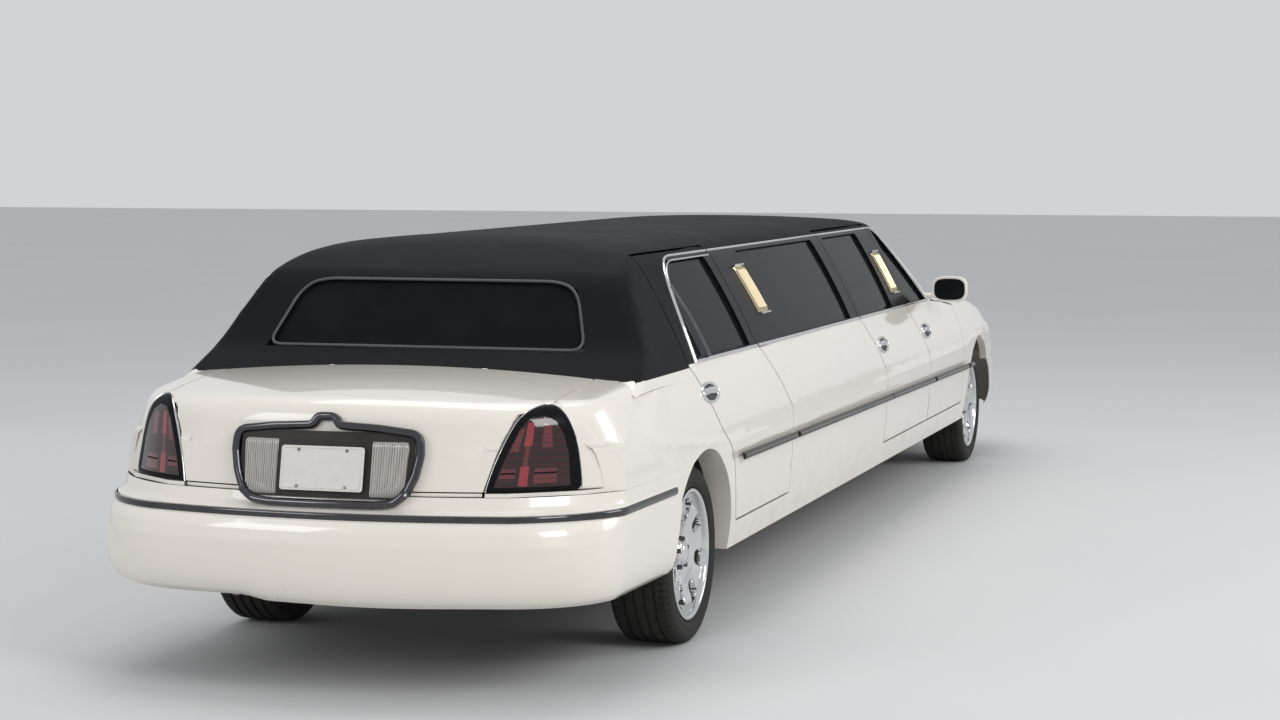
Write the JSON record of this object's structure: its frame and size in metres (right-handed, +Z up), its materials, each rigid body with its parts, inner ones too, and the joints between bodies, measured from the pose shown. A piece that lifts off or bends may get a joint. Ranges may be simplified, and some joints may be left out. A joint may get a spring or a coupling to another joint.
{
  "type": "stretch limousine",
  "caption": "Long-wheelbase stretch saloon with hinged doors, trunk lid and hood, turning wheels, linked steering and a furnished rear lounge.",
  "frame": {"origin": "on the ground under the middle of the car's length and width", "axes": "+X forward, +Y to the car's left, +Z up"},
  "size_m": [8.517, 2.24, 1.535],
  "materials": {
    "black_metal": "satin black",
    "body_paint": "gloss white clear-coat",
    "cabinet": "lacquer",
    "chrome": "polished",
    "clear_lens": "moulded lens",
    "glass": "dark tint",
    "iron": "cast",
    "red_lens": "moulded lens",
    "seat_leather": "soft",
    "steel": "worn",
    "trim_plastic": "grained",
    "tyre": "rubber",
    "vinyl": "black grained vinyl"
  },
  "bodies": {
    "body": {"roof": "vinyl", "side_glass": "glass", "rear_window": "glass", "windshield": "glass", "quarter_panels": "body_paint", "trunk_tub": "black_metal", "rear_bulkhead": "black_metal", "firewall": "black_metal", "front_fenders": "body_paint", "nose_panel": "body_paint", "stretch_panels": "body_paint", "floor": "black_metal", "sills": "body_paint", "tail_lamps": "red_lens", "headlamps": "clear_lens", "grille": "chrome", "rear_bumper": "body_paint", "front_bumper": "body_paint", "pillar_lamps": "chrome", "chassis_frame": "black_metal", "front_arms": "black_metal", "rear_axle": "steel", "engine": "iron", "exhaust": "steel", "fuel_tank": "steel", "dashboard": "trim_plastic", "front_seats": "seat_leather", "partition": "trim_plastic", "rear_bench": "seat_leather", "side_bench": "seat_leather", "bar_console": "cabinet"},
    "front_left_wheel": {"front_left_wheel": "chrome", "front_left_tyre": "tyre"},
    "front_right_wheel": {"front_right_wheel": "chrome", "front_right_tyre": "tyre"},
    "rear_left_wheel": {"rear_left_wheel": "chrome", "rear_left_tyre": "tyre"},
    "rear_right_wheel": {"rear_right_wheel": "chrome", "rear_right_tyre": "tyre"},
    "left_knuckle": {"left_knuckle": "steel"},
    "right_knuckle": {"right_knuckle": "steel"},
    "steering_wheel": {"steering_wheel": "trim_plastic"},
    "hood": {"hood": "body_paint"},
    "fuel_door": {"fuel_door": "body_paint"},
    "trunk_lid": {"trunk_lid": "body_paint", "plate_surround": "chrome"},
    "right_rear_door": {"right_rear_door": "body_paint", "right_rear_door_glass": "glass"},
    "right_middle_door": {"right_middle_door": "body_paint", "right_middle_door_glass": "glass", "door_lamp": "chrome"},
    "right_front_door": {"right_front_door": "body_paint", "right_front_door_glass": "glass", "right_mirror": "body_paint"},
    "left_rear_door": {"left_rear_door": "body_paint", "left_rear_door_glass": "glass"},
    "left_front_door": {"left_front_door": "body_paint", "left_front_door_glass": "glass", "left_mirror": "body_paint"}
  },
  "joints": [
    {"name": "rear_left_wheel_spin", "type": "hinge", "parent": "body", "child": "rear_left_wheel", "pos_m": [-2.8245, 0.807, 0.338], "axis": [0, 1, 0], "continuous": true},
    {"name": "left_steer", "type": "hinge", "parent": "body", "child": "left_knuckle", "pos_m": [3.2135, 0.752, 0.338], "axis": [0, 0, 1], "range_deg": [-33, 33]},
    {"name": "front_left_wheel_spin", "type": "hinge", "parent": "left_knuckle", "child": "front_left_wheel", "pos_m": [3.2135, 0.807, 0.338], "axis": [0, 1, 0], "continuous": true},
    {"name": "rear_right_wheel_spin", "type": "hinge", "parent": "body", "child": "rear_right_wheel", "pos_m": [-2.8245, -0.807, 0.338], "axis": [0, 1, 0], "continuous": true},
    {"name": "right_steer", "type": "hinge", "parent": "body", "child": "right_knuckle", "pos_m": [3.2135, -0.752, 0.338], "axis": [0, 0, 1], "range_deg": [-33, 33]},
    {"name": "front_right_wheel_spin", "type": "hinge", "parent": "right_knuckle", "child": "front_right_wheel", "pos_m": [3.2135, -0.807, 0.338], "axis": [0, 1, 0], "continuous": true},
    {"name": "steering_wheel_turn", "type": "hinge", "parent": "body", "child": "steering_wheel", "pos_m": [1.8985, 0.38, 0.87], "axis": [-0.9135, 0, 0.4067], "range_deg": [-528, 528]},
    {"name": "right_rear_door_hinge", "type": "hinge", "parent": "body", "child": "right_rear_door", "pos_m": [-1.5095, -0.973, 0.6], "axis": [0, 0, 1], "range_deg": [0, 68]},
    {"name": "right_middle_door_hinge", "type": "hinge", "parent": "body", "child": "right_middle_door", "pos_m": [1.5985, -0.973, 0.6], "axis": [0, 0, 1], "range_deg": [0, 68]},
    {"name": "right_front_door_hinge", "type": "hinge", "parent": "body", "child": "right_front_door", "pos_m": [2.6305, -0.973, 0.6], "axis": [0, 0, 1], "range_deg": [0, 68]},
    {"name": "left_rear_door_hinge", "type": "hinge", "parent": "body", "child": "left_rear_door", "pos_m": [-1.5095, 0.973, 0.6], "axis": [0, 0, -1], "range_deg": [0, 68]},
    {"name": "left_front_door_hinge", "type": "hinge", "parent": "body", "child": "left_front_door", "pos_m": [2.6305, 0.973, 0.6], "axis": [0, 0, -1], "range_deg": [0, 68]},
    {"name": "hood_hinge", "type": "hinge", "parent": "body", "child": "hood", "pos_m": [2.1765, 0, 1.024], "axis": [0, -1, 0], "range_deg": [0, 55]},
    {"name": "trunk_lid_hinge", "type": "hinge", "parent": "body", "child": "trunk_lid", "pos_m": [-3.3855, 0, 1.06], "axis": [0, 1, 0], "range_deg": [0, 75]},
    {"name": "fuel_door_hinge", "type": "hinge", "parent": "body", "child": "fuel_door", "pos_m": [-3.5745, 0.94762, 0.77], "axis": [0, 0.2637, -0.9646], "range_deg": [0, 80]}
  ],
  "couplings": [
    {"joint": "right_steer", "follows": "left_steer", "ratio": 1},
    {"joint": "steering_wheel_turn", "follows": "left_steer", "ratio": 16}
  ]
}
